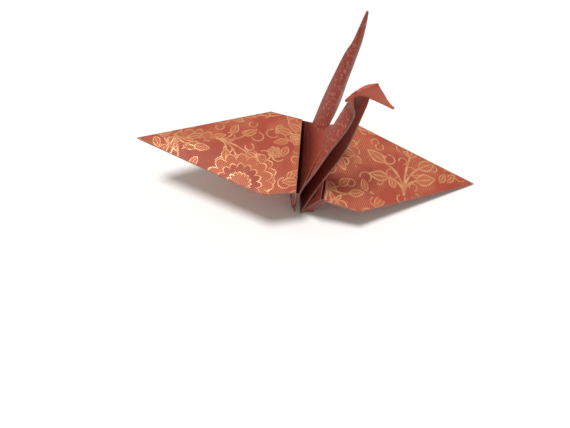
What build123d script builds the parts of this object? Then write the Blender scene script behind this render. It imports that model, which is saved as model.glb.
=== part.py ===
import os
from math import atan, cos, radians, sin, sqrt, tan

from build123d import *

# A traditional folded crane: one square sheet, no cuts, no glue.
# Millimetres, +Z up, wings along X, neck towards -Y, tail towards +Y.

# The sheet, the bulge of its folds, and the gaps where its raw edges meet,
# between an inner flap and the panel it lies on and inside the outer flap
sheet_side = 150.0
paper = 0.2
fold_bulge = 1.27
fold_sides = 8
raw_gap = 0.4
inner_gap = 0.38
flap_gap = 0.9

# How far the folded body is drawn open, in degrees, and how far it is puffed up
hump_tilt = 15.5
base_tilt = 5.5
valley_tilt = 0.5
wall_lean = 4.0
puff = 2.0

# Each wing: rise of its plane above level, and skew of its root fold
left_wing_rise, left_root_skew = -13.1, -0.8
right_wing_rise, right_root_skew = 5.8, 3.2
wing_fold_up = 0.093

# Neck and tail lean out of the body, and stand in sections from the fold up:
# share of the sheet side, opening and turn of the arms in degrees, shift in mm
neck_tilt, tail_tilt = 4.5, 3.0
neck_sections = ((0, 5, 0, 0), (0.08, 12, 0, -0.5), (0.16, 15, 8, -0.6),
                 (0.24, 27, 22, -1.1), (0.32, 36, 34, -1.3), (0.355, 60, 42, -1.2),
                 (0.375, 85, 50, -0.8))
tail_sections = ((0, 5, 0, 0), (0.12, 12, 1, -0.1), (0.22, 21, 1, -1.1),
                 (0.33, 28, -5, -2.8), (0.42, 45, -9, -4.4), (0.495, 60, 0, -6.4))

# Head: how it is turned from the front, hung and rolled, and its sections from
# the crown to the beak: distance in mm, opening of the arms in degrees, and how
# much wider than the neck they spread
head_turn, head_droop, head_roll = 112.0, 40.0, 50.0
head_sections = ((0, 84, 1.4), (4.5, 68, 1.4), (10, 50, 1.35), (15, 30, 1.2), (18, 14, 1))

# Crease pattern of the bird base, in shares of the sheet side.
# Across is the distance from the middle line of the flat base, and
# up is the height above the line through its two side corners.
narrow = tan(radians(11.25))
wide = tan(radians(22.5))
apex_up = 0.5 * (sqrt(2) - 1)
tip_up = 0.5
foot_across = 0.5 * narrow
shoulder_up = (apex_up - foot_across) / (1 + narrow)
shoulder_across = apex_up - shoulder_up
elbow_up = 0.5 * (wide - narrow) / (wide + narrow)
elbow_across = (0.5 + elbow_up) * narrow
corner_up = 0.5 / cos(radians(22.5)) - 0.5


def mm(x, y, z):
    """A point given in shares of the sheet side."""
    return Vector(x, y, z) * sheet_side


# The body hangs from the middle of the sheet, the apex at 0, 0, 0.
# side is -1 on the left and 1 on the right, end is -1 in front and 1 behind.
tilt = radians(hump_tilt)
slope = radians(90) - 2 * atan(cos(tilt))


def breast_point(side, end, across, up):
    """The narrow panel between a shoulder ridge and the middle fold."""
    drop = apex_up - up
    return mm(side * across * sin(tilt),
              end * (drop * sin(slope) + across * (1 - sin(slope))),
              across * (cos(slope) - cos(tilt)) - drop * cos(slope))


def shoulder(side, end):
    return breast_point(side, end, shoulder_across, shoulder_up)


def base_point(side, end, across, up):
    """The lower end of the breast, pinched together by the neck or tail."""
    point = breast_point(side, end, across, up)
    return Vector(side * across * sin(radians(base_tilt)) * sheet_side, point.Y, point.Z)


def valley_point(side, across, up):
    """The strip of hump that dips into the valley beside the wing."""
    drop = apex_up - shoulder_up
    dip = shoulder_up - up
    lean = radians(valley_tilt)
    return mm(side * (drop * sin(tilt) + dip * sin(lean)), across,
              -drop * cos(tilt) - dip * cos(lean))


def wall_point(side, across, up):
    """The wall that climbs out of the valley to the wing."""
    lean = radians(wall_lean)
    return valley_point(side, across, 0) + mm(side * up * sin(lean), 0, up * cos(lean))


def flap_point(side, across, up):
    """The outer flap, which hangs outside the wall with a gap between."""
    return wall_point(side, across, up) + Vector(side * flap_gap, 0, 0)


def wing_point(side, across, up, rise, skew):
    """The wing, folded down along its skewed root line."""
    turn = radians(skew)
    lean = radians(wall_lean)
    climb = Vector(side * sin(lean), 0, cos(lean))
    root = Vector(0, cos(turn), 0) + climb * sin(turn)
    out = Vector(side * cos(radians(rise)), 0, sin(radians(rise)))
    out = (out - root * out.dot(root)).normalized()
    beyond = (up - wing_fold_up) * cos(turn) - across * sin(turn)
    along = across * cos(turn) + (up - wing_fold_up) * sin(turn)
    return (wall_point(side, 0, wing_fold_up)
            + (root * along + out * beyond) * sheet_side)


def root_corner(end, skew):
    slant = tan(radians(skew))
    across = end * (0.5 + wing_fold_up) * narrow / (1 - end * narrow * slant)
    return across, wing_fold_up + across * slant


def root_crossing(end, skew):
    across = end * (wing_fold_up - corner_up) / (1 - end * tan(radians(skew)))
    return across, corner_up + abs(across)


# The reverse folds that send the neck and the tail upwards
def reverse_corner(side, end, limb_tilt):
    fall = tan(radians(limb_tilt) / 2)
    across = foot_across / (1 + narrow * fall)
    return base_point(side, end, across, -across * fall)


apex = Vector(0, 0, puff)
middle = {end: breast_point(1, end, 0, 0) for end in (-1, 1)}
tilts = {-1: neck_tilt, 1: tail_tilt}
rises = {-1: (left_wing_rise, left_root_skew), 1: (right_wing_rise, right_root_skew)}

# The crane rests on the corners of its right-hand flap and the right wing tip
front_foot = flap_point(1, -foot_across, 0)
back_foot = flap_point(1, foot_across, 0)
wing_foot = wing_point(1, 0, tip_up, *rises[1])
upward = (wing_foot - front_foot).cross(back_foot - front_foot).normalized()
across_floor = Vector(1, 0, 0) - upward * upward.X
standing = Plane(origin=front_foot, x_dir=across_floor, z_dir=upward)


def rest(point):
    return standing.to_local_coords(point)


# Panels: corners, number of layers, lift of the panel off its corners
panels = []
creases = []
half_gap = raw_gap / 2 / sheet_side
for side in (-1, 1):
    rise = rises[side]
    outward = -side
    panels.append(([apex, shoulder(side, -1), shoulder(side, 1)], 1, 0))
    panels.append(([shoulder(side, -1), valley_point(side, -foot_across, 0),
                    valley_point(side, foot_across, 0), shoulder(side, 1)], 1, 0))
    creases.append((shoulder(side, -1), shoulder(side, 1), 1))
    creases.append((valley_point(side, -foot_across, 0), valley_point(side, foot_across, 0), 2))
    corners = {end: root_corner(end, rise[1]) for end in (-1, 1)}
    panels.append(([wall_point(side, -foot_across, 0), wall_point(side, foot_across, 0),
                    wall_point(side, *corners[1]), wall_point(side, *corners[-1])], 2, 0))
    wing = {end: wing_point(side, end * elbow_across, elbow_up, *rise) for end in (-1, 1)}
    roots = {end: wing_point(side, *corners[end], *rise) for end in (-1, 1)}
    tip = wing_point(side, 0, tip_up, *rise)
    panels.append(([roots[-1], roots[1], wing[1], tip, wing[-1]], 2, 0))
    creases.append((roots[-1], roots[1], 2))
    for end in (-1, 1):
        creases.append((roots[end], wing[end], 2))
        creases.append((wing[end], tip, 2))
        creases.append((wall_point(side, end * foot_across, 0), roots[end], 2))
        # The side corner of the base, folded over: under the wing and down the wall
        crossing = root_crossing(end, rise[1])
        inner = wing_point(side, *crossing, *rise)
        panels.append(([roots[end], wing[end], inner], 2, side * end * inner_gap))
        wall_foot = wall_point(side, end * foot_across, 0)
        fold_tip = wall_point(side, end * half_gap, corner_up)
        panels.append(([wall_foot, roots[end], wall_point(side, *crossing), fold_tip],
                       2, side * end * inner_gap))

for side in (-1, 1):
    for end in (-1, 1):
        limb_tilt = tilts[end]
        foot = reverse_corner(side, end, limb_tilt)
        top = shoulder(side, end)
        heel = base_point(side, end, foot_across, 0)
        panels.append(([apex, top, middle[end]], 1, 0))
        panels.append(([top, foot, middle[end]], 1, 0))
        panels.append(([top, heel, foot], 1, 0))
        creases.append((apex, top, 1))
        creases.append((middle[end], top, 1))
        # The outer flap hangs outside the wall and wraps under the body
        flap_foot = flap_point(side, end * foot_across, 0)
        flap_middle = flap_point(side, end * half_gap, 0)
        flap_tip = flap_point(side, end * half_gap, corner_up)
        flap_top = flap_point(side, end * shoulder_across, shoulder_up)
        panels.append(([flap_foot, flap_top, flap_tip, flap_middle], 2, 0))
        creases.append((flap_top, flap_tip, 2))
        panels.append(([flap_foot, flap_middle, foot], 2, 0))
        panels.append(([flap_middle, middle[end], foot], 2, 0))
        creases.append((flap_foot, flap_middle, 2))
        creases.append((flap_middle, foot, 2))
        creases.append((foot, middle[end], 4))
        # The folded edge that closes the flap against the breast
        panels.append(([top, heel, flap_foot], 1, 0))
        panels.append(([heel, foot, flap_foot], 1, 0))
        panels.append(([top, flap_foot, flap_top], 1, 0))
        creases.append((top, heel, 1))
        creases.append((heel, foot, 1))
        creases.append((flap_foot, flap_top, 2))
        creases.append((flap_foot, foot, 2))
for end in (-1, 1):
    creases.append((apex, middle[end], 1))


# Neck and tail: arms of four layers that swing apart from a spine
def arms_outline(width, opening, layers):
    """A V section, from the spine out along both arms."""
    half = layers * paper / 2
    lean = radians(opening)
    reach, spread = width * cos(lean), max(width * sin(lean), half * cos(lean) + 0.05)
    inner = reach + half * sin(lean)
    groove = min(half / sin(lean), 0.7 * inner)
    arm = [(-half * sin(lean), half * cos(lean)),
           (reach - half * sin(lean), spread + half * cos(lean)),
           (reach + half * cos(lean), spread + half * sin(lean)),
           (inner, spread - half * cos(lean))]
    return [(-half, 0), *arm, (groove, 0), *[(x, -y) for x, y in reversed(arm)]]


def limb_sections(end, tilt_angle, sections):
    rising = radians(tilt_angle)
    upwards = Vector(0, end * sin(rising), cos(rising))
    outwards = Vector(0, end * cos(rising), -sin(rising))
    stations = []
    for share, opening, turn, shift in sections:
        along = upwards
        point = middle[end] + upwards * share * sheet_side + Vector(shift, 0, 0)
        across = outwards * cos(radians(turn)) + Vector(sin(radians(turn)), 0, 0)
        if share == 0:
            # The lowest section lies along the reverse fold, which slopes
            slant = rising / 2
            across, along = (across * cos(slant) + along * sin(slant),
                             along * cos(slant) - across * sin(slant))
        section = Plane(origin=rest(point), x_dir=rest(point + across) - rest(point),
                        z_dir=rest(point + along) - rest(point))
        width = (tip_up - share) * narrow * sheet_side
        stations.append((section, arms_outline(width, opening, 4 if share < 0.48 else 2)))
    return stations


neck = limb_sections(-1, neck_tilt, neck_sections)
tail = limb_sections(1, tail_tilt, tail_sections)

# The head is the tip of the neck, spread flat and bent over in front of it
crown_share = neck_sections[-1][0]
crown = neck[-1][0].origin
crown_width = (tip_up - crown_share) * narrow * sheet_side
hinge = neck[-1][0].y_dir * crown_width
turn, droop, roll = radians(head_turn), radians(head_droop), radians(head_roll)
beakwards = Vector(cos(droop) * sin(turn), -cos(droop) * cos(turn), -sin(droop))
sideways = (hinge - beakwards * hinge.dot(beakwards)).normalized()
under = sideways.cross(beakwards) * (1 if sideways.cross(beakwards).Y > 0 else -1)
under = under * cos(roll) + sideways * sin(roll)
head = []
for reach, opening, spread in head_sections:
    share = crown_share + reach / sheet_side
    section = Plane(origin=crown + beakwards * reach, x_dir=under, z_dir=beakwards)
    width = (tip_up - share) * narrow * sheet_side * spread
    head.append((section, arms_outline(width, opening, 4 if reach < 12 else 2)))


def plate(corners, layers, lift):
    """A flat panel of the sheet, as thick as the layers that lie together."""
    points = [rest(corner) for corner in corners]
    flat = Plane(origin=points[0], x_dir=points[1] - points[0],
                 z_dir=(points[1] - points[0]).cross(points[2] - points[0]))
    outline = [flat.to_local_coords(point) for point in points]
    with BuildPart() as panel:
        with BuildSketch(flat.offset(lift)):
            with BuildLine():
                Polyline(*[(point.X, point.Y) for point in outline], close=True)
            make_face()
        extrude(amount=layers * paper / 2, both=True)
    return panel.part


def bend(first, last, layers):
    """The rounded edge where the sheet turns, a little thicker than its layers."""
    radius = fold_bulge * layers * paper / 2
    overrun = 0.3 * radius
    with BuildPart() as edge:
        with BuildSketch(Plane(origin=first, z_dir=last - first).offset(-overrun)):
            RegularPolygon(radius=radius, side_count=fold_sides)
        extrude(amount=(last - first).length + 2 * overrun)
    return edge.part


def limb(stations):
    """Neck, tail or head: two arms of layers joined along a spine."""
    with BuildPart() as arms:
        for section, outline in stations:
            with BuildSketch(section):
                with BuildLine():
                    Polyline(*outline, close=True)
                make_face()
        loft(ruled=True)
    return arms.part


pieces = [plate(*panel) for panel in panels]
pieces += [bend(rest(start), rest(stop), layers) for start, stop, layers in creases]
pieces += [limb(stations) for stations in (neck, tail, head)]
pieces.append(bend(crown - hinge, crown + hinge, 4))

with BuildPart() as crane:
    add(pieces)
box = crane.part.bounding_box()

with BuildPart() as folded_crane:
    add(crane.part.moved(Location((-box.center().X, -box.center().Y, -box.min.Z))))

folded_crane.part.label = "folded_crane"
os.makedirs("parts", exist_ok=True)
export_step(folded_crane.part, "parts/folded_crane.step")
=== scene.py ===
from math import atan, cos, pi, radians, sin, sqrt, tan

import bmesh
import bpy
from mathutils import Matrix, Vector


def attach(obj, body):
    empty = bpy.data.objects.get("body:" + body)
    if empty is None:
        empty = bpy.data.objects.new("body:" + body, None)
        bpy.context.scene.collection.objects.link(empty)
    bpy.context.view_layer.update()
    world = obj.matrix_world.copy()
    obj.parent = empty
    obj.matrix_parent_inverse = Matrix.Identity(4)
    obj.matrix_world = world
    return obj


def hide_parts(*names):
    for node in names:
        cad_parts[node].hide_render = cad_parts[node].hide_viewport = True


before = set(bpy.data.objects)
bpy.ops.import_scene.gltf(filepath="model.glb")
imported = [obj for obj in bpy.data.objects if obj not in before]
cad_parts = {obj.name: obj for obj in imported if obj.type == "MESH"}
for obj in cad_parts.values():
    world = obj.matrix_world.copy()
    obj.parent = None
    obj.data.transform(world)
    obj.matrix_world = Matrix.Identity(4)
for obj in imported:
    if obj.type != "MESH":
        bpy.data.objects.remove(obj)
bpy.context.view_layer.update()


# The sheet. One uncut square of printed paper, 150 mm a side, folded to the
# bird base. Its creases are given in shares of the side: across is the
# distance from the middle line of the flat base, up the height above its corners.
sheet_side = 150.0
layer = 0.2
narrow, wide = tan(radians(11.25)), tan(radians(22.5))
apex_up = 0.5 * (sqrt(2) - 1)
tip_up = 0.5
foot_across = 0.5 * narrow
shoulder_up = (apex_up - foot_across) / (1 + narrow)
shoulder_across = apex_up - shoulder_up
elbow_up = 0.5 * (wide - narrow) / (wide + narrow)
elbow_across = (0.5 + elbow_up) * narrow
corner_up = 0.5 / cos(radians(22.5)) - 0.5

hump_tilt, base_tilt, valley_tilt, wall_lean, puff = 15.5, 5.5, 0.5, 4.0, 2.0
rises = {-1: (-13.1, -0.8), 1: (5.8, 3.2)}
wing_fold_up = 0.093
tilts = {-1: 4.5, 1: 3.0}
inner_gap, flap_gap = 0.38, 0.9
half_gap = 0.2 / sheet_side
valley_opening = 0.6
pinch = {-1: 3.0, 1: 0.0}
tilt = radians(hump_tilt)
slope = radians(90) - 2 * atan(cos(tilt))
lean = radians(wall_lean)


def breast_point(side, end, across, up):
    drop = apex_up - up
    return sheet_side * Vector((side * across * sin(tilt),
                                end * (drop * sin(slope) + across * (1 - sin(slope))),
                                across * (cos(slope) - cos(tilt)) - drop * cos(slope)))


def shoulder(side, end):
    opened = Vector((side * valley_opening, 0, 0))
    return breast_point(side, end, shoulder_across, shoulder_up) - opened


def base_point(side, end, across, up):
    point = breast_point(side, end, across, up)
    point.x = side * across * sin(radians(base_tilt)) * sheet_side
    return point


def pinched(side, across, share):
    """The foot of the valley is drawn in where neck and tail hold it together."""
    return Vector((-side * pinch[side] * (across / foot_across) ** 2 * share, 0, 0))


def valley_point(side, across, up):
    drop, dip = apex_up - shoulder_up, shoulder_up - up
    return pinched(side, across, 1 - up / shoulder_up) + sheet_side * Vector((
        side * (drop * sin(tilt) + dip * sin(radians(valley_tilt))), across,
        -drop * cos(tilt) - dip * cos(radians(valley_tilt))))


def wall_point(side, across, up):
    foot_line = sheet_side * Vector((
        side * (apex_up - shoulder_up) * sin(tilt) + side * shoulder_up * sin(radians(valley_tilt)),
        across,
        -(apex_up - shoulder_up) * cos(tilt) - shoulder_up * cos(radians(valley_tilt))))
    return (foot_line + pinched(side, across, max(0, 1 - up / wing_fold_up))
            + sheet_side * Vector((side * up * sin(lean), 0, up * cos(lean))))


def flap_point(side, across, up):
    return wall_point(side, across, up) + Vector((side * flap_gap, 0, 0))


def wing_axes(side):
    rise, skew = (radians(angle) for angle in rises[side])
    root = Vector((0, cos(skew), 0)) + Vector((side * sin(lean), 0, cos(lean))) * sin(skew)
    out = Vector((side * cos(rise), 0, sin(rise)))
    return root, (out - root * out.dot(root)).normalized()


def wing_point(side, across, up):
    skew = radians(rises[side][1])
    root, out = wing_axes(side)
    beyond = (up - wing_fold_up) * cos(skew) - across * sin(skew)
    along = across * cos(skew) + (up - wing_fold_up) * sin(skew)
    return wall_point(side, 0, wing_fold_up) + (root * along + out * beyond) * sheet_side


def root_corner(side, end):
    slant = tan(radians(rises[side][1]))
    across = end * (0.5 + wing_fold_up) * narrow / (1 - end * narrow * slant)
    return across, wing_fold_up + across * slant


def root_crossing(side, end):
    across = end * (wing_fold_up - corner_up) / (1 - end * tan(radians(rises[side][1])))
    return across, corner_up + abs(across)


def reverse_corner(side, end):
    fall = tan(radians(tilts[end]) / 2)
    across = foot_across / (1 + narrow * fall)
    return base_point(side, end, across, -across * fall)


# The crane stands on the two lower corners of its right-hand flap and on the
# tip of its right wing, as the folded paper rests on a table. The middle of its
# box comes over the origin, and its rounded folds touch the table.
box_middle = Vector((-1.636, 15.081, -0.26))
front_foot = flap_point(1, -foot_across, 0)
wing_foot = wing_point(1, 0, tip_up)
upward = (wing_foot - front_foot).cross(flap_point(1, foot_across, 0) - front_foot).normalized()
across_floor = (Vector((1, 0, 0)) - upward * upward.x).normalized()
along_floor = upward.cross(across_floor)


def rest(point):
    arm = point - front_foot
    return Vector((arm.dot(across_floor), arm.dot(along_floor), arm.dot(upward))) - box_middle


# Paper surfaces. Each is a closed slab as thick as the layers that lie together.
# Every point keeps its place on the flat printed sheet, so the print runs on over
# the folds, and a rim from 0 to 1 that says how near it is to a worn edge.
paper = bmesh.new()
place_layer = paper.verts.layers.float_vector.new("sheet_place")
rim_layer = paper.verts.layers.float.new("rim")
metre = 0.001
worn_width, widest_rim = 0.3, 0.05
fold_roundness, roll_rings, roll_sides = 1.2, 12, 10


def on_sheet(p, q):
    """Wing diagonal and neck-tail diagonal to the sides of the sheet, in mm."""
    return Vector(((p - q) / sqrt(2), (p + q) / sqrt(2), 0)) * sheet_side


def add_vert(point, place, rim):
    vert = paper.verts.new(point * metre)
    vert[place_layer] = place
    vert[rim_layer] = rim
    return vert


def slab(rows, places, rims, layers, lift, toward):
    """A grid of points made into paper of some layers, lifted off it one way."""
    last_row, last_column = len(rows) - 1, len(rows[0]) - 1
    normals = []
    for i, row in enumerate(rows):
        normals.append([])
        for j, point in enumerate(row):
            down = rows[min(i + 1, last_row)][j] - rows[max(i - 1, 0)][j]
            over = row[min(j + 1, last_column)] - row[max(j - 1, 0)]
            normals[-1].append(down.cross(over).normalized())
    if normals[last_row // 2][last_column // 2].dot(toward) < 0:
        normals = [[-normal for normal in row] for row in normals]
    half = layers * layer / 2
    faces = []
    for height in (lift + half, lift - half):
        faces.append([[add_vert(point + normal * height, place, rim)
                       for point, normal, place, rim in zip(*line)]
                      for line in zip(rows, normals, places, rims)])
    top, bottom = faces
    for i in range(last_row):
        for j in range(last_column):
            paper.faces.new((top[i][j], top[i][j + 1], top[i + 1][j + 1], top[i + 1][j]))
            paper.faces.new((bottom[i][j], bottom[i + 1][j],
                             bottom[i + 1][j + 1], bottom[i][j + 1]))
    border = [(0, j) for j in range(last_column)]
    border += [(i, last_column) for i in range(last_row)]
    border += [(last_row, j) for j in range(last_column, 0, -1)]
    border += [(i, 0) for i in range(last_row, 0, -1)]
    for (i, j), (k, n) in zip(border, border[1:] + border[:1]):
        paper.faces.new((top[i][j], bottom[i][j], bottom[k][n], top[k][n]))


def steps(count, margin):
    """Even steps from 0 to 1, with one more close to each end for the worn rim."""
    return [0, margin] + [k / count for k in range(1, count)] + [1 - margin, 1]


def bilinear(corners, u, v):
    a, b, c, d = corners
    return (a * (1 - u) + b * u) * (1 - v) + (d * (1 - u) + c * u) * v


def rim_share(length):
    """The part of a length that its worn rim takes up."""
    return min(worn_width / max(length, 1), widest_rim)


def panel(corners, spots, layers=1, lift=0.0, bulge=0.0, toward=Vector((0, 0, 1)),
          count=8, cross=8, draw=Vector()):
    """A three- or four-cornered panel, its print taken from the corners' spots.

    Its first edge may be drawn in at the middle.
    """
    if len(corners) == 3:
        corners, spots = corners + corners[2:], spots + spots[2:]
    points = [rest(corner) for corner in corners]
    flat = [on_sheet(*spot) for spot in spots]
    way, drawn = rest(toward) - rest(Vector()), rest(draw) - rest(Vector())
    normal = (points[1] - points[0]).cross(points[2] - points[0]).normalized()
    normal = normal if normal.dot(way) > 0 else -normal
    long, tall = (points[1] - points[0]).length, (points[3] - points[0]).length
    us, vs = steps(count, rim_share(long)), steps(cross, rim_share(tall))
    vs[-1] = 0.985 if points[2] == points[3] else 1
    rows, places, rims = [], [], []
    for v in vs:
        rows.append([bilinear(points, u, v) + normal * bulge * 16 * u * (1 - u) * v * (1 - v)
                     + drawn * 4 * u * (1 - u) * (1 - v) for u in us])
        places.append([bilinear(flat, u, v) for u in us])
        rims.append([float(u in (0, 1) or v in (0, vs[-1])) for u in us])
    slab(rows, places, rims, layers, lift, way)


def roll(start, stop, layers, spots, draw=Vector()):
    """The rounded edge where the sheet turns over."""
    drawn = rest(draw) - rest(Vector())
    first, last = rest(start), rest(stop)
    axis = (last - first).normalized()
    radius = fold_roundness * layers * layer / 2
    one = axis.orthogonal().normalized()
    two = axis.cross(one)
    flat = [on_sheet(*spot) for spot in spots]
    rings = []
    for k in range(roll_rings + 1):
        share = k / roll_rings
        centre = first.lerp(last, share) + drawn * 4 * k / roll_rings * (1 - share)
        place = flat[0].lerp(flat[1], share)
        turns = [2 * pi * n / roll_sides for n in range(roll_sides)]
        rings.append([add_vert(centre + (one * cos(turn) + two * sin(turn)) * radius, place, 1.0)
                      for turn in turns])
    for ring, after in zip(rings, rings[1:]):
        for n in range(roll_sides):
            beside = (n + 1) % roll_sides
            paper.faces.new((ring[n], ring[beside], after[beside], after[n]))
    paper.faces.new(rings[0][::-1])
    paper.faces.new(rings[-1])


# The hump. The middle of the sheet, drawn open into two sloping panels that
# dip into a dark valley beside each wing. Puffed a little, so it is never flat.
apex = Vector((0, 0, puff))
middle = {end: breast_point(1, end, 0, 0) for end in (-1, 1)}
edge_draw = 2.2
for side in (-1, 1):
    front, back = shoulder(side, -1), shoulder(side, 1)
    spots = [(0, 0), (side * (apex_up - shoulder_up), -shoulder_across),
             (side * (apex_up - shoulder_up), shoulder_across)]
    draw_in = Vector((-edge_draw * side, 0, 0))
    panel([front, back, apex], [spots[1], spots[2], spots[0]], bulge=0.55,
          toward=Vector((side, 0, 2)), count=14, draw=draw_in)
    dip = [valley_point(side, -foot_across, 0), valley_point(side, foot_across, 0)]
    dip_spots = [(side * apex_up, -foot_across), (side * apex_up, foot_across)]
    panel([front, back, dip[1], dip[0]], [spots[1], spots[2], dip_spots[1], dip_spots[0]],
          bulge=0.25, toward=Vector((side, 0, 0)), count=12, draw=draw_in)
    roll(front, back, 1, spots[1:], draw=draw_in)
    roll(dip[0], dip[1], 2, dip_spots)
    for end in (-1, 1):
        top = shoulder(side, end)
        heel = base_point(side, end, foot_across, 0)
        foot = reverse_corner(side, end)
        facing = Vector((0, end, 0))
        top_spot = (side * shoulder_across, end * (apex_up - shoulder_up))
        low = (0, end * apex_up)
        heel_spot = (side * foot_across, end * apex_up)
        panel([apex, top, middle[end]], [(0, 0), top_spot, low], bulge=0.3, toward=facing)
        panel([top, foot, middle[end]], [top_spot, heel_spot, low], toward=facing)
        panel([top, heel, foot], [top_spot, heel_spot, heel_spot], toward=facing)
        roll(apex, top, 1, [(0, 0), top_spot])
        roll(middle[end], top, 1, [low, top_spot])
        roll(top, heel, 1, [top_spot, heel_spot])
        roll(heel, foot, 1, [heel_spot, heel_spot])
        roll(foot, middle[end], 4, [heel_spot, low])


# The wings. Two layers, the upper one unbroken and the lower one in two halves
# whose raw edges meet under the middle line, hanging from the wall that climbs
# out of the valley. The paper has taken a soft bow over the middle of each wing.
wing_bow = {-1: 1.6, 1: 1.0}
wing_ripple = 0.16


def wing_edge(side, end, t):
    """Round the edge of the wing from its root over the elbow to the tip."""
    stations = [Vector(root_corner(side, end)), Vector((end * elbow_across, elbow_up)),
                Vector((0, tip_up))]
    elbow, round_off = 0.2, 0.035
    before = stations[0].lerp(stations[1], min(t / elbow, 1))
    after = stations[1].lerp(stations[2], max(0, t - elbow) / (1 - elbow))
    if abs(t - elbow) < round_off:
        blunt = (t - elbow + round_off) / (2 * round_off)
        start = stations[0].lerp(stations[1], 1 - round_off / elbow)
        stop = stations[1].lerp(stations[2], round_off / (1 - elbow))
        return start.lerp(stations[1], blunt).lerp(stations[1].lerp(stop, blunt), blunt)
    return before if t < elbow else after


def turned_under(side, end, across, up):
    """Where the lower layer lies on the flat sheet, beyond the wing's edge fold."""
    edge = Vector((end * sin(radians(22.5)), -cos(radians(22.5))))
    arm = Vector((across, up - tip_up))
    arm = edge * (2 * arm.dot(edge)) - arm
    return side * (apex_up + arm.y + tip_up), arm.x


for side in (-1, 1):
    root, out = wing_axes(side)
    above = root.cross(out)
    above = above if above.z > 0 else -above
    way = rest(above) - rest(Vector((0, 0, 0)))
    reaches = sorted([0, 0.012, 0.165, 0.18, 0.19, 0.21, 0.22, 0.235]
                     + [0.05 * k for k in range(1, 20)] + [0.975, 0.994])
    spans = steps(16, 0.012)
    for part in ("upper", -1, 1):
        rows, places, rims = [], [], []
        for t in reaches:
            low, high = wing_edge(side, -1, t), wing_edge(side, 1, t)
            front_edge, chord = low.x, (high - low).x
            if part != "upper":
                seam = low.lerp(high, 0.5) + Vector((part * half_gap, 0))
                low, high = (low, seam) if part < 0 else (seam, high)
            rows.append([])
            places.append([])
            rims.append([])
            for u in spans:
                across, up = low.lerp(high, u)
                whole = (across - front_edge) / max(1e-6, chord)
                bow = wing_bow[side] * 4 * whole * (1 - whole) * sin(pi * min(1, t * 1.02)) ** 0.8
                bow += wing_ripple * sin(whole * 9 + 2 * side) * sin(t * 13) * whole * (1 - whole) * 4
                rows[-1].append(rest(wing_point(side, across, up) + above * bow))
                spot = (side * (apex_up + up), across)
                if part != "upper":
                    spot = turned_under(side, part, across, up)
                places[-1].append(on_sheet(*spot))
                rims[-1].append(float(u in (0, 1) or t == reaches[-1]))
        slab(rows, places, rims, 1, layer * (0.5 if part == "upper" else -0.5), way)
    corners = {end: root_corner(side, end) for end in (-1, 1)}
    ends = {end: wing_point(side, *corners[end]) for end in (-1, 1)}
    spot = {end: (side * (apex_up + corners[end][1]), corners[end][0]) for end in (-1, 1)}
    elbows = {end: wing_point(side, end * elbow_across, elbow_up) for end in (-1, 1)}
    elbow_spot = {end: (side * (apex_up + elbow_up), end * elbow_across) for end in (-1, 1)}
    tip = wing_point(side, 0, tip_up)
    wall = [wall_point(side, -foot_across, 0), wall_point(side, foot_across, 0)]
    panel([wall[0], wall[1], ends[1], ends[-1]],
          [(side * apex_up, -foot_across), (side * apex_up, foot_across), spot[1], spot[-1]],
          layers=2, toward=Vector((side, 0, 0)), count=12)
    roll(ends[-1], ends[1], 2, [spot[-1], spot[1]])
    for end in (-1, 1):
        roll(ends[end], elbows[end], 2, [spot[end], elbow_spot[end]])
        roll(elbows[end], tip, 2, [elbow_spot[end], (side * (apex_up + tip_up), 0)])
        roll(wall_point(side, end * foot_across, 0), ends[end], 2,
             [(side * apex_up, end * foot_across), spot[end]])


# The side flaps. The side corners of the bird base, folded over inside the wall
# and under the wing, and the outer flap that hangs outside the wall, turns under
# the body and closes it against the breast.
for side in (-1, 1):
    root, out = wing_axes(side)
    under = -root.cross(out) if root.cross(out).z > 0 else root.cross(out)
    for end in (-1, 1):
        corner = root_corner(side, end)
        crossing = root_crossing(side, end)
        ends = wing_point(side, *corner)
        elbow = wing_point(side, end * elbow_across, elbow_up)
        spots = [(side * (apex_up - corner[1]), corner[0]),
                 (side * (apex_up - elbow_up), end * elbow_across),
                 (side * (apex_up - crossing[1]), crossing[0])]
        panel([ends, elbow, wing_point(side, *crossing)], spots, layers=2,
              lift=inner_gap, toward=under)
        wall_foot = wall_point(side, end * foot_across, 0)
        fold_tip = wall_point(side, end * half_gap, corner_up)
        panel([wall_foot, ends, wall_point(side, *crossing), fold_tip],
              [(side * apex_up, end * foot_across), spots[0], spots[2], (side * apex_up, 0)],
              layers=2, lift=inner_gap, toward=Vector((side, 0, 0)))
        top = shoulder(side, end)
        heel = base_point(side, end, foot_across, 0)
        foot = reverse_corner(side, end)
        flap_foot = flap_point(side, end * foot_across, 0)
        flap_middle = flap_point(side, end * half_gap, 0)
        flap_tip = flap_point(side, end * half_gap, corner_up)
        flap_top = flap_point(side, end * shoulder_across, shoulder_up)
        low = (side * apex_up, end * foot_across)
        high = (side * (apex_up - shoulder_up), end * shoulder_across)
        mid, tall = (side * apex_up, 0), (side * (apex_up - corner_up), 0)
        panel([flap_foot, flap_top, flap_tip, flap_middle], [low, high, tall, mid], layers=2,
              toward=Vector((side, 0, 0)))
        panel([flap_foot, flap_middle, foot], [low, mid, low], layers=2, toward=Vector((0, 0, -1)))
        panel([flap_middle, middle[end], foot], [mid, mid, low], layers=2, toward=Vector((0, 0, -1)))
        facing = Vector((side, end, 0))
        panel([top, heel, flap_foot], [high, low, low], toward=facing)
        panel([heel, foot, flap_foot], [low, low, low], toward=facing)
        panel([top, flap_foot, flap_top], [high, low, high], toward=facing)
        for start, stop, marks, layers in (
                (flap_top, flap_tip, (high, tall), 2), (flap_foot, flap_middle, (low, mid), 2),
                (flap_middle, foot, (mid, low), 2), (flap_foot, flap_top, (low, high), 2),
                (flap_foot, foot, (low, low), 2)):
            roll(start, stop, layers, marks)


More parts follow.
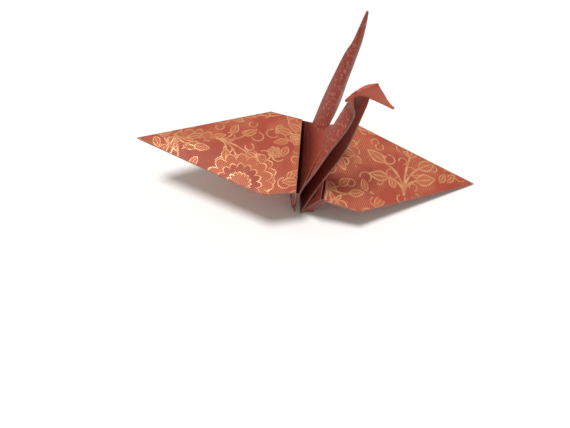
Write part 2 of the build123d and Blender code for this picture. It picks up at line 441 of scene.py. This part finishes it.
# Neck, head and tail. Long points of the sheet folded narrow to two arms that
# stand apart from a sharp spine. Each arm is two pleats, the outer one unbroken
# over the spine. The head is the tip of the neck, opened flat and bent over.

# Each section: share of the sheet up the limb, opening of the left and of the
# right arm, turn of the fold, its shift to the right, how far the pleats spread
neck_sections = ((0, 5, 5, 0, 0, 1), (0.08, 11, 12, 0, -0.5, 1), (0.16, 14, 16, 8, -0.6, 1),
                 (0.24, 19, 27, 22, -1.1, 1.05), (0.32, 14, 34, 34, -1.3, 1.14),
                 (0.355, 34, 56, 42, -1.2, 1.26), (0.375, 84, 84, 50, -0.8, 1.4))
tail_sections = ((0, 5, 5, 0, 0, 1), (0.12, 12, 12, 1, -0.1, 1), (0.22, 21, 21, 1, -1.1, 1),
                 (0.33, 28, 28, -5, -2.8, 0.95), (0.395, 38, 38, -8, -4.0, 0.9),
                 (0.43, 47, 47, -8, -4.6, 0.74), (0.495, 60, 60, 0, -6.4, 0.8))
head_turn, head_droop, head_roll = radians(112.0), radians(40.0), radians(50.0)
# Each section: distance from the crown, opening of the near and of the far side,
# their spread, and how far the far side slides towards the beak and is drawn in
head_sections = ((0, 84, 80, 1.4, 5.1, 0.75), (4.5, 35, 74, 1.35, 3.0, 0.3),
                 (10, 22, 62, 1.35, 1.1, 0), (15, 16, 36, 1.2, 0.2, 0), (18, 14, 14, 1, 0, 0))
pleat, pleat_gap, belly_height = 0.36, 0.2, 0.25


def between_sections(sections, count):
    """Smooth steps through the sections, so the paper curves from one to the next."""
    smooth = []
    for k in range(len(sections) - 1):
        before, a, b, after = (sections[max(k - 1, 0)], sections[k], sections[k + 1],
                               sections[min(k + 2, len(sections) - 1)])
        for n in range(count):
            t = n / count
            smooth.append([0.5 * (2 * q + (r - p) * t + (2 * p - 5 * q + 4 * r - s) * t * t
                                  + (3 * q - p - 3 * r + s) * t ** 3)
                           for p, q, r, s in zip(before, a, b, after)])
    return smooth + [list(sections[-1])]


def limb_frames(end, sections):
    rising = radians(tilts[end])
    upwards = Vector((0, end * sin(rising), cos(rising)))
    outwards = Vector((0, end * cos(rising), -sin(rising)))
    frames = []
    for share, left, right, turn, shift, spread in between_sections(sections, 6):
        turn = radians(turn)
        point = middle[end] + upwards * share * sheet_side + Vector((shift, 0, 0))
        across = outwards * cos(turn) + Vector((sin(turn), 0, 0))
        slant = rising / 2 * max(0, 1 - share / 0.08)
        across, along = (across * cos(slant) + upwards * sin(slant),
                         upwards * cos(slant) - across * sin(slant))
        spot = rest(point)
        x = (rest(point + across) - spot).normalized()
        z = (rest(point + along) - spot).normalized()
        width = (tip_up - share) * narrow * sheet_side * spread
        openings = (radians(left), radians(right)) if end < 0 else (radians(right), radians(left))
        frames.append((spot, x, z.cross(x), width, openings, end * (apex_up + share), Vector()))
    return frames


def arms(frames):
    """The outer pleat over the spine, then the inner pleat of each arm."""
    for part in ("outer", -1, 1):
        rows, places, rims = [], [], []
        spans = steps(9, 0.04)
        if part == "outer":
            spans = [-u for u in reversed(spans[1:])] + spans
        for spot, x, y, width, openings, share, slide in frames:
            start = min(0.7, 0.25 / tan(sum(openings) / 2) / width)
            rows.append([])
            places.append([])
            rims.append([])
            for u in spans:
                sign = part if part != "outer" else (1 if u >= 0 else -1)
                opening = openings[0] if sign < 0 else openings[1]
                w = width * (abs(u) if part == "outer" else start + (1 - start) * u)
                belly = belly_height * sin(pi * min(1, w / width)) * min(1, width / 4)
                rows[-1].append(spot + x * (w * cos(opening) - belly * sin(opening))
                                + y * sign * (w * sin(opening) + belly * cos(opening))
                                + slide * (w / width if sign > 0 else 0))
                folded = w if part == "outer" else 2 * width - w
                places[-1].append(on_sheet(sign * folded / sheet_side, share))
                rims[-1].append(float(abs(u) in (0, 1)) if part == "outer" else float(u == 1))
        outward = -frames[len(frames) // 2][1]
        if part != "outer":
            half_way = frames[len(frames) // 2]
            outward = (half_way[2] * part * cos(half_way[4][0]) - half_way[1] * sin(half_way[4][0]))
        slab(rows, places, rims, pleat / layer, pleat_gap if part == "outer" else -pleat_gap, outward)


neck = limb_frames(-1, neck_sections)
crown, across_crown = neck[-1][0], neck[-1][2] * neck[-1][3]
beakwards = Vector((cos(head_droop) * sin(head_turn), -cos(head_droop) * cos(head_turn),
                    -sin(head_droop)))
sideways = (across_crown - beakwards * across_crown.dot(beakwards)).normalized()
under = sideways.cross(beakwards)
under = under if under.y > 0 else -under
under = under * cos(head_roll) + sideways * sin(head_roll)
for reach, near, far, spread, sweep, drawn_in in between_sections(head_sections, 4):
    share = neck_sections[-1][0] + reach / sheet_side
    width = max(0.15, (tip_up - share) * narrow * sheet_side * spread)
    neck.append((crown + beakwards * reach, under, beakwards.cross(under), width,
                 (radians(near), radians(far)), -(apex_up + share),
                 beakwards * sweep - beakwards.cross(under) * drawn_in))
arms(neck)
arms(limb_frames(1, tail_sections))

crane_mesh = bpy.data.meshes.new("folded_sheet")
bmesh.ops.recalc_face_normals(paper, faces=paper.faces)
paper.to_mesh(crane_mesh)
paper.free()
crane_mesh.polygons.foreach_set("use_smooth", [True] * len(crane_mesh.polygons))
crane_mesh.set_sharp_from_angle(angle=radians(35))
folded_sheet = bpy.data.objects.new("folded_sheet", crane_mesh)
bpy.context.collection.objects.link(folded_sheet)
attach(folded_sheet, "root")
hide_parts("folded_crane")


# The printed paper. Red paper pressed with a fine linen grain and printed in
# gold and peach ink with a scroll of leaves, stems, scalloped flowers and
# dotted arcs. The ink is metallic, so it flares where the light glances off it.
def reckon(tree, operation, *terms):
    """One sum in a material: numbers and sockets in, a socket out."""
    node = tree.nodes.new("ShaderNodeMath")
    node.operation = operation
    for entry, term in zip(node.inputs, terms):
        if isinstance(term, (int, float)):
            entry.default_value = term
        else:
            tree.links.new(term, entry)
    return node.outputs[0]


def reckon_place(tree, operation, *terms):
    """The same for places: a vector, a scale or an angle in, a vector out."""
    node = tree.nodes.new("ShaderNodeVectorMath")
    node.operation = operation
    for entry, term in zip(node.inputs, terms):
        if isinstance(term, (tuple, int, float)):
            entry.default_value = term if isinstance(term, tuple) else (term,) * 3
        else:
            tree.links.new(term, entry)
    return node.outputs[1] if operation == "LENGTH" else node.outputs[0]


def turned(tree, place, angle):
    node = tree.nodes.new("ShaderNodeVectorRotate")
    node.rotation_type = "Z_AXIS"
    tree.links.new(place, node.inputs["Vector"])
    if isinstance(angle, (int, float)):
        node.inputs["Angle"].default_value = angle
    else:
        tree.links.new(angle, node.inputs["Angle"])
    return node.outputs[0]


def parted(tree, place):
    node = tree.nodes.new("ShaderNodeSeparateXYZ")
    tree.links.new(place, node.inputs[0])
    return node.outputs[0], node.outputs[1]


def edge_step(tree, value, limit, soft):
    """1 where value is under the limit, fading over a soft width."""
    return reckon(tree, "SUBTRACT", 1.0, reckon(
        tree, "SMOOTH_MIN", 1.0, reckon(tree, "MAXIMUM", 0.0, reckon(
            tree, "DIVIDE", reckon(tree, "SUBTRACT", value, limit), soft)), 0.0))


def new_group(name, entries, exits):
    group = bpy.data.node_groups.new(name, "ShaderNodeTree")
    for title, kind, value in entries:
        made = group.interface.new_socket(title, in_out="INPUT", socket_type=kind)
        if value is not None:
            made.default_value = value
    for title, kind in exits:
        group.interface.new_socket(title, in_out="OUTPUT", socket_type=kind)
    entry_node = group.nodes.new("NodeGroupInput")
    exit_node = group.nodes.new("NodeGroupOutput")
    return group, entry_node.outputs, exit_node.inputs


def placed(tree, group, **values):
    node = tree.nodes.new("ShaderNodeGroup")
    node.node_tree = group
    for title, value in values.items():
        entry = node.inputs[title.replace("_", " ")]
        if isinstance(value, (int, float, tuple)):
            entry.default_value = value
        else:
            tree.links.new(value, entry)
    return node.outputs


FLOAT, VECTOR = "NodeSocketFloat", "NodeSocketVector"

# A motif's own patch of the sheet: rows of cells, each turned its own way
cells, given, result = new_group(
    "motif_cells", [("Place", VECTOR, None), ("Pitch", FLOAT, 20.0), ("Lay", FLOAT, 0.0),
                    ("Shift", VECTOR, None)],
    [("Local", VECTOR), ("Dice", FLOAT)])
lain = reckon_place(cells, "ADD", turned(cells, given["Place"], given["Lay"]), given["Shift"])
pitch = reckon_place(cells, "SCALE", (1.0, 1.0, 1.0))
cells.links.new(given["Pitch"], pitch.node.inputs["Scale"])
cell = reckon_place(cells, "FLOOR", reckon_place(cells, "DIVIDE", lain, pitch))
local = reckon_place(cells, "SUBTRACT", lain, reckon_place(
    cells, "MULTIPLY", reckon_place(cells, "ADD", cell, (0.5, 0.5, 0.0)), pitch))
chance = cells.nodes.new("ShaderNodeTexWhiteNoise")
cells.links.new(cell, chance.inputs["Vector"])
any_turn = reckon(cells, "MULTIPLY", chance.outputs["Value"], 2 * pi)
cells.links.new(turned(cells, local, any_turn), result["Local"])
cells.links.new(chance.outputs["Value"], result["Dice"])

# A leaf: an outline that swells from its stalk to its point, with a midrib
leaf, given, result = new_group(
    "leaf_mark", [("Place", VECTOR, None), ("Root", VECTOR, None), ("Heading", FLOAT, 0.0),
                  ("Length", FLOAT, 5.0), ("Width", FLOAT, 1.5), ("Line", FLOAT, 0.3)],
    [("Line", FLOAT), ("Fill", FLOAT)])
x, y = parted(leaf, turned(leaf, reckon_place(leaf, "SUBTRACT", given["Place"], given["Root"]),
                           reckon(leaf, "MULTIPLY", given["Heading"], -1.0)))
along = reckon(leaf, "DIVIDE", x, given["Length"])
inside = reckon(leaf, "MULTIPLY", reckon(leaf, "GREATER_THAN", along, 0.0),
                reckon(leaf, "LESS_THAN", along, 1.0))
swell = reckon(leaf, "SINE", reckon(leaf, "MULTIPLY", pi, reckon(
    leaf, "POWER", reckon(leaf, "MINIMUM", 1.0, reckon(leaf, "MAXIMUM", 0.0, along)), 0.8)))
half_width = reckon(leaf, "MULTIPLY", given["Width"], swell)
aside = reckon(leaf, "ABSOLUTE", y)
outline = edge_step(leaf, reckon(leaf, "ABSOLUTE", reckon(leaf, "SUBTRACT", aside, half_width)),
                    reckon(leaf, "MULTIPLY", given["Line"], 0.5), 0.12)
midrib = reckon(leaf, "MULTIPLY", edge_step(leaf, aside, 0.08, 0.12),
                reckon(leaf, "LESS_THAN", along, 0.75))
leaf.links.new(reckon(leaf, "MULTIPLY", inside, reckon(leaf, "MAXIMUM", outline, midrib)),
               result["Line"])
blade = edge_step(leaf, reckon(leaf, "SUBTRACT", aside, half_width), 0.0, 0.1)
leaf.links.new(reckon(leaf, "MULTIPLY", inside, blade), result["Fill"])

# A stem: part of a ring, drawn as a line
stem, given, result = new_group(
    "stem_mark", [("Place", VECTOR, None), ("Centre", VECTOR, None), ("Radius", FLOAT, 5.0),
                  ("Middle", FLOAT, 0.0), ("Spread", FLOAT, 1.0), ("Line", FLOAT, 0.4)],
    [("Line", FLOAT), ("Fill", FLOAT)])
arm = turned(stem, reckon_place(stem, "SUBTRACT", given["Place"], given["Centre"]),
             reckon(stem, "MULTIPLY", given["Middle"], -1.0))
x, y = parted(stem, arm)
bearing = reckon(stem, "ABSOLUTE", reckon(stem, "ARCTAN2", y, x))
within = reckon(stem, "LESS_THAN", bearing, given["Spread"])
distance = reckon_place(stem, "LENGTH", arm)
off_ring = reckon(stem, "ABSOLUTE", reckon(stem, "SUBTRACT", distance, given["Radius"]))
stem.links.new(reckon(stem, "MULTIPLY", within, edge_step(
    stem, off_ring, reckon(stem, "MULTIPLY", given["Line"], 0.5), 0.12)), result["Line"])
stem.links.new(reckon(stem, "MULTIPLY", within, reckon(
    stem, "LESS_THAN", distance, given["Radius"])), result["Fill"])

# A flower: rings of scalloped petals, whole or fanned out over part of a ring
flower, given, result = new_group(
    "flower_mark", [("Place", VECTOR, None), ("Centre", VECTOR, None), ("Radius", FLOAT, 3.0),
                    ("Petals", FLOAT, 8.0), ("Spread", FLOAT, 3.2), ("Line", FLOAT, 0.3)],
    [("Line", FLOAT), ("Fill", FLOAT), ("Inside", FLOAT)])
x, y = parted(flower, reckon_place(flower, "SUBTRACT", given["Place"], given["Centre"]))
bearing = reckon(flower, "ARCTAN2", x, y)
distance = reckon(flower, "SQRT", reckon(
    flower, "ADD", reckon(flower, "MULTIPLY", x, x), reckon(flower, "MULTIPLY", y, y)))
scallop = reckon(flower, "POWER", reckon(flower, "ABSOLUTE", reckon(flower, "COSINE", reckon(
    flower, "MULTIPLY", bearing, reckon(flower, "MULTIPLY", given["Petals"], 0.5)))), 0.6)
within = reckon(flower, "LESS_THAN", reckon(flower, "ABSOLUTE", bearing), given["Spread"])
half_line = reckon(flower, "MULTIPLY", given["Line"], 0.5)
lines, petals = [], []
for share, depth in ((1.0, 0.24), (0.66, 0.16), (0.36, 0.1)):
    edge = reckon(flower, "MULTIPLY", given["Radius"], reckon(
        flower, "ADD", share - depth, reckon(flower, "MULTIPLY", scallop, depth)))
    off_edge = reckon(flower, "ABSOLUTE", reckon(flower, "SUBTRACT", distance, edge))
    lines.append(edge_step(flower, off_edge, half_line, 0.14))
    petals.append(reckon(flower, "LESS_THAN", distance, edge))
flower.links.new(reckon(flower, "MULTIPLY", within, reckon(
    flower, "MAXIMUM", lines[0], reckon(flower, "MAXIMUM", lines[1], lines[2]))), result["Line"])
flower.links.new(reckon(flower, "MULTIPLY", within, reckon(
    flower, "ADD", reckon(flower, "SUBTRACT", petals[0], petals[1]), petals[2])), result["Fill"])
flower.links.new(reckon(flower, "MULTIPLY", within, petals[0]), result["Inside"])

# The linen grain pressed into the paper, and the ink dots that sit on it
linen, given, result = new_group("linen_grain", [("Place", VECTOR, None), ("Pitch", FLOAT, 0.76)],
                                 [("Height", FLOAT), ("Dots", FLOAT)])
x, y = parted(linen, turned(linen, given["Place"], 0.35))
turn_rate = reckon(linen, "DIVIDE", 2 * pi, given["Pitch"])
wave_x = reckon(linen, "SINE", reckon(linen, "MULTIPLY", x, turn_rate))
wave_y = reckon(linen, "SINE", reckon(linen, "MULTIPLY", y, turn_rate))
weave = reckon(linen, "MULTIPLY", wave_x, wave_y)
linen.links.new(weave, result["Height"])
linen.links.new(edge_step(linen, reckon(linen, "MULTIPLY", weave, -1.0), -0.25, 0.35),
                result["Dots"])

# A spray: stems that curve out of one stalk, each ending in its leaf
spray, given, result = new_group("spray_mark", [("Place", VECTOR, None)],
                                 [("Line", FLOAT), ("Fill", FLOAT)])
stalk = -9.5
lines = fills = 0.0
for way, radius, sweep, length, width in (
        (1, 5.0, 1.3, 6.0, 1.6), (-1, 4.6, 1.5, 5.4, 1.5), (1, 10.5, 1.0, 6.2, 1.7),
        (-1, 11.5, 0.95, 6.0, 1.5), (1, 30.0, 0.42, 6.0, 1.4)):
    root = (way * radius * (1 - cos(sweep)), stalk + radius * sin(sweep), 0)
    mark = placed(spray, leaf, Place=given["Place"], Root=root, Heading=pi / 2 - way * sweep,
                  Length=length, Width=width, Line=0.36)
    lines = reckon(spray, "MAXIMUM", lines, mark["Line"])
    fills = reckon(spray, "MAXIMUM", fills, mark["Fill"])
    mark = placed(spray, stem, Place=given["Place"], Centre=(way * radius, stalk, 0), Radius=radius,
                  Middle=pi - sweep / 2 if way > 0 else sweep / 2, Spread=sweep / 2, Line=0.5)
    lines = reckon(spray, "MAXIMUM", lines, mark["Line"])
spray.links.new(lines, result["Line"])
spray.links.new(fills, result["Fill"])

# The whole print: a scalloped fan on the left wing and a tall spray on the right
# one, and between them rows of sprays, flowers, sprigs and meshed arcs
gold_print, given, result = new_group("gold_scroll", [("Place", VECTOR, None)],
                                      [("Line", FLOAT), ("Fill", FLOAT)])
fan_spot, tall_spot, tall_scale = (-35.1, -58.2, 0), (60.7, 45.8, 0), (1.45, 1.45, 1)


def greater(one, other):
    return reckon(gold_print, "MAXIMUM", one, other)


def masked(mask, value):
    return reckon(gold_print, "MULTIPLY", mask, value)


fan_place = turned(gold_print, reckon_place(gold_print, "SUBTRACT", given["Place"], fan_spot), -pi / 4)
mark = placed(gold_print, flower, Place=fan_place, Centre=(0, 0, 0), Radius=12.6, Petals=16.0,
              Spread=1.9, Line=0.5)
lines, fills, in_fan = mark["Line"], masked(0.8, mark["Fill"]), mark["Inside"]
tall_place = turned(gold_print, reckon_place(gold_print, "SUBTRACT", given["Place"], tall_spot), -pi / 4)
tall_place = reckon_place(gold_print, "SUBTRACT", reckon_place(
    gold_print, "DIVIDE", tall_place, tall_scale), (0, 9.5, 0))
mark = placed(gold_print, spray, Place=tall_place)
lines, fills = greater(lines, mark["Line"]), greater(fills, mark["Fill"])
taken = greater(in_fan, edge_step(gold_print, reckon_place(gold_print, "LENGTH", tall_place), 13.2, 0.3))
open_ground = reckon(gold_print, "SUBTRACT", 1.0, taken)
row = placed(gold_print, cells, Place=given["Place"], Pitch=22.0, Lay=0.55, Shift=(5.0, 10.0, 0.0))
mark = placed(gold_print, spray, Place=row["Local"])
lines = greater(lines, masked(open_ground, mark["Line"]))
fills = greater(fills, masked(open_ground, mark["Fill"]))
posy = placed(gold_print, cells, Place=given["Place"], Pitch=31.0, Lay=1.2, Shift=(13.0, 2.0, 0.0))
for centre, radius, petals, spread in (
        ((0.0, -5.5, 0), 10.5, 15.0, 1.25), ((-9.0, 5.5, 0), 2.6, 7.0, 3.2)):
    mark = placed(gold_print, flower, Place=posy["Local"], Centre=centre, Radius=radius, Petals=petals,
                  Spread=spread, Line=0.4)
    clear = masked(open_ground, reckon(gold_print, "SUBTRACT", 1.0, fills))
    lines = greater(lines, masked(clear, mark["Line"]))
    fills = greater(fills, masked(masked(clear, 0.7), mark["Fill"]))
# Small sprigs and curls fill the ground that the larger motifs leave open
sprig = placed(gold_print, cells, Place=given["Place"], Pitch=11.5, Lay=2.1, Shift=(3.0, 6.0, 0.0))
clear = reckon(gold_print, "SUBTRACT", 1.0, greater(in_fan, greater(lines, fills)))
mark = placed(gold_print, leaf, Place=sprig["Local"], Root=(-1.0, -3.2, 0), Heading=1.1,
              Length=5.4, Width=1.3, Line=0.34)
lines = greater(lines, masked(clear, mark["Line"]))
fills = greater(fills, masked(clear, mark["Fill"]))
for centre, radius, bearing, spread in (
        ((3.0, 1.6, 0), 2.2, 0.4, 2.2), ((-3.6, 2.8, 0), 1.6, -0.8, 2.4)):
    mark = placed(gold_print, stem, Place=sprig["Local"], Centre=centre, Radius=radius, Middle=bearing,
                  Spread=spread, Line=0.4)
    lines = greater(lines, masked(clear, mark["Line"]))
arch = placed(gold_print, cells, Place=given["Place"], Pitch=34.0, Lay=0.2, Shift=(4.0, 21.0, 0.0))
clear = masked(open_ground, reckon(gold_print, "SUBTRACT", 1.0, fills))
for radius, line, meshed in ((11.6, 0.5, 0.4), (5.2, 0.4, 0.6)):
    mark = placed(gold_print, stem, Place=arch["Local"], Centre=(0, -5.0, 0), Radius=radius, Middle=1.57,
                  Spread=1.2, Line=line)
    lines = greater(lines, masked(clear, mark["Line"]))
    fills = greater(fills, masked(masked(clear, meshed), mark["Fill"]))
# The motifs fill the two wing corners of the sheet and leave its middle plain
x, y = parted(gold_print, given["Place"])
off_middle = reckon(gold_print, "ABSOLUTE", reckon(
    gold_print, "MULTIPLY", reckon(gold_print, "ADD", x, y), sqrt(0.5)))
on_wings = reckon(gold_print, "SUBTRACT", 1.0, edge_step(gold_print, off_middle, 41.0, 3.0))
gold_print.links.new(reckon(gold_print, "MULTIPLY", on_wings, lines), result["Line"])
gold_print.links.new(reckon(gold_print, "MULTIPLY", on_wings, fills), result["Fill"])

printed_paper = bpy.data.materials.new("printed_paper")
printed_paper.use_nodes = True
tree = printed_paper.node_tree
shader = tree.nodes["Principled BSDF"]
sheet_place = tree.nodes.new("ShaderNodeAttribute")
sheet_place.attribute_name = "sheet_place"
rim = tree.nodes.new("ShaderNodeAttribute")
rim.attribute_name = "rim"
scroll = placed(tree, gold_print, Place=sheet_place.outputs["Vector"])
grain = placed(tree, linen, Place=sheet_place.outputs["Vector"], Pitch=0.95)


def mottled(scale, detail):
    node = tree.nodes.new("ShaderNodeTexNoise")
    tree.links.new(sheet_place.outputs["Vector"], node.inputs["Vector"])
    node.inputs["Scale"].default_value = scale
    node.inputs["Detail"].default_value = detail
    return node.outputs["Fac"]


def over(under_colour, over_colour, share):
    node = tree.nodes.new("ShaderNodeMix")
    node.data_type = "RGBA"
    for entry, value in ((node.inputs[0], share), (node.inputs[6], under_colour),
                         (node.inputs[7], over_colour)):
        if isinstance(value, (tuple, float)):
            entry.default_value = value
        else:
            tree.links.new(value, entry)
    return node.outputs[2]


red, deep_red = (0.42, 0.052, 0.026, 1), (0.31, 0.036, 0.022, 1)
painted_shade_red, lit_head_red = (0.10, 0.014, 0.010, 1), (0.58, 0.105, 0.055, 1)
peach, gold, bright_gold = (0.80, 0.34, 0.16, 1), (0.64, 0.22, 0.10, 1), (0.90, 0.47, 0.23, 1)
worn_edge, rubbed_pink = (0.32, 0.15, 0.12, 1), (0.62, 0.30, 0.22, 1)
ink_patch = reckon(tree, "MULTIPLY_ADD", mottled(0.3, 4.0), 2.6, -0.75)
ground = over(red, deep_red, reckon(tree, "MULTIPLY", mottled(0.12, 3.0), 0.9))
# The two diagonals of the sheet: aside of the neck and tail, and along them
x, y = parted(tree, sheet_place.outputs["Vector"])
aside = reckon(tree, "ABSOLUTE", reckon(tree, "MULTIPLY", reckon(tree, "ADD", x, y), sqrt(0.5)))
neck_way = reckon(tree, "MULTIPLY", reckon(tree, "SUBTRACT", y, x), sqrt(0.5))
from_middle = reckon(tree, "ABSOLUTE", neck_way)
off_wings = edge_step(tree, aside, 30.0, 12.0)
off_hump = reckon(tree, "SUBTRACT", 1.0, edge_step(tree, from_middle, 36.0, 6.0))
# The head, beyond the crown of the neck, is painted a brighter red, painted light where its top catches
# the lamp
off_head = reckon(tree, "SUBTRACT", 1.0, edge_step(tree, neck_way, -89.0, 5.0))
# Painted shade: off the wings and the head, the body, neck and tail take a deeper red
body_shade_zone = reckon(tree, "MULTIPLY", off_wings, off_head)
ground = over(ground, deep_red, reckon(tree, "MULTIPLY", body_shade_zone, 0.6))
ground = over(ground, lit_head_red, reckon(
    tree, "MULTIPLY", reckon(tree, "SUBTRACT", 1.0, off_head), off_wings))
# Painted shade: the hump darkens towards the valleys beside the wings
valley_shade = reckon(tree, "MULTIPLY", edge_step(tree, aside, 30.0, 2.0), reckon(
    tree, "SUBTRACT", 1.0, edge_step(tree, aside, 7.0, 9.0)))
valley_shade = reckon(tree, "MULTIPLY", valley_shade, reckon(tree, "SUBTRACT", 1.0, off_hump))
ground = over(ground, painted_shade_red, reckon(tree, "MULTIPLY", valley_shade, 0.65))
dusting = reckon(tree, "MINIMUM", 0.9, reckon(tree, "MAXIMUM", 0.3, reckon(
    tree, "MULTIPLY_ADD", mottled(0.09, 2.0), 3.4, -1.2)))
dusting = reckon(tree, "MULTIPLY", dusting, reckon(tree, "MULTIPLY_ADD", off_wings, -0.8, 1.0))
ground = over(ground, peach, reckon(
    tree, "MULTIPLY", grain["Dots"], reckon(tree, "MULTIPLY", dusting, 0.56)))
# The inner pleats of neck and tail are painted darker, painted shade inside the groove, and only the
# outer ones are rubbed
pleat_edge = reckon(tree, "MULTIPLY_ADD", from_middle, -narrow,
                    (tip_up + apex_up) * sheet_side * narrow)
outer = edge_step(tree, reckon(tree, "SUBTRACT", aside, pleat_edge), 0.0, 0.3)
on_limbs = reckon(tree, "MULTIPLY", body_shade_zone, off_hump)
inner = reckon(tree, "MULTIPLY", reckon(tree, "SUBTRACT", 1.0, outer), on_limbs)
ground = over(ground, painted_shade_red, reckon(tree, "MULTIPLY", inner, 0.5))
speckle = reckon(tree, "MULTIPLY", reckon(tree, "MULTIPLY", outer, on_limbs), reckon(
    tree, "SUBTRACT", 1.0, edge_step(tree, mottled(0.9, 3.0), 0.52, 0.12)))
ground = over(ground, rubbed_pink, reckon(tree, "MULTIPLY", speckle, 0.5))
inked = over(ground, gold, reckon(tree, "MULTIPLY", scroll["Fill"], reckon(
    tree, "MULTIPLY_ADD", grain["Dots"], 0.5, 0.28)))
line_ink = reckon(tree, "MULTIPLY", scroll["Line"], reckon(
    tree, "MINIMUM", 0.95, reckon(tree, "MAXIMUM", ink_patch, 0.4)))
inked = over(inked, bright_gold, line_ink)
rubbed = reckon(tree, "MULTIPLY", rim.outputs["Fac"], reckon(
    tree, "MULTIPLY_ADD", mottled(1.5, 2.0), 0.9, 0.2))
tree.links.new(over(inked, worn_edge, rubbed), shader.inputs["Base Color"])
metal = reckon(tree, "MULTIPLY", reckon(
    tree, "MAXIMUM", line_ink, reckon(tree, "MULTIPLY", scroll["Fill"], 0.3)), 0.6)
tree.links.new(metal, shader.inputs["Metallic"])
tree.links.new(reckon(tree, "MULTIPLY_ADD", scroll["Line"], -0.14, reckon(
    tree, "MULTIPLY_ADD", mottled(0.6, 3.0), 0.16, 0.42)), shader.inputs["Roughness"])
shader.inputs["Specular IOR Level"].default_value = 0.35
bump = tree.nodes.new("ShaderNodeBump")
bump.inputs["Strength"].default_value = 0.35
bump.inputs["Distance"].default_value = 0.0001
tree.links.new(grain["Height"], bump.inputs["Height"])
tree.links.new(bump.outputs["Normal"], shader.inputs["Normal"])
crane_mesh.materials.append(printed_paper)


# The table top and the light. A plain pale surface under one soft light that
# hangs nearly overhead, a little to the left, in a pale room.
floor_mesh = bpy.data.meshes.new("table_top")
half_table = 3
floor_mesh.from_pydata([(-half_table, -half_table, 0), (half_table, -half_table, 0),
                        (half_table, half_table, 0), (-half_table, half_table, 0)],
                       [], [(0, 1, 2, 3)])
table_top = bpy.data.objects.new("table_top", floor_mesh)
bpy.context.collection.objects.link(table_top)
white_card = bpy.data.materials.new("white_card")
white_card.use_nodes = True
card_shader = white_card.node_tree.nodes["Principled BSDF"]
card_shader.inputs["Base Color"].default_value = (0.96, 0.955, 0.94, 1)
card_shader.inputs["Roughness"].default_value = 0.8
floor_mesh.materials.append(white_card)

lamp = bpy.data.lights.new("overhead_light", "SUN")
lamp.angle = 0.29
lamp.energy = 2.35
lamp_object = bpy.data.objects.new("overhead_light", lamp)
lamp_object.location = (-0.18, 0.10, 1.5)
lamp_object.rotation_euler = (-lamp_object.location).to_track_quat("-Z", "Y").to_euler()
bpy.context.collection.objects.link(lamp_object)

world = bpy.data.worlds.new("pale_room")
world.use_nodes = True
world.node_tree.nodes["Background"].inputs["Color"].default_value = (1, 0.985, 0.93, 1)
ray = world.node_tree.nodes.new("ShaderNodeLightPath")
strength = reckon(world.node_tree, "MULTIPLY_ADD", ray.outputs["Is Camera Ray"], 0.62, 0.38)
world.node_tree.links.new(strength, world.node_tree.nodes["Background"].inputs["Strength"])
bpy.context.scene.world = world


# The camera, held close in front of the crane and looking steeply down on it.
# Its place and angles were fitted to points of the crane in the photograph.
camera = bpy.data.cameras.new("camera")
camera_object = bpy.data.objects.new("camera", camera)
bpy.context.collection.objects.link(camera_object)
heading, height_angle, roll_angle = radians(-7.226), radians(58.861), radians(-2.704)
focal_pixels, image_width = 440.9, 570
camera.sensor_width = 36.0
camera.lens = 36.0 * focal_pixels / image_width
ahead = Vector((sin(heading) * cos(height_angle), cos(heading) * cos(height_angle), -sin(height_angle)))
level_right = Vector((cos(heading), -sin(heading), 0))
level_up = level_right.cross(ahead)
right = level_right * cos(roll_angle) + level_up * sin(roll_angle)
up = level_up * cos(roll_angle) - level_right * sin(roll_angle)
camera_object.location = (0.00216, -0.10588, 0.14864)
camera_object.rotation_euler = Matrix((right, up, -ahead)).transposed().to_euler()
camera.clip_start = 0.01
bpy.context.scene.camera = camera_object
bpy.context.scene.view_settings.view_transform = "Standard"
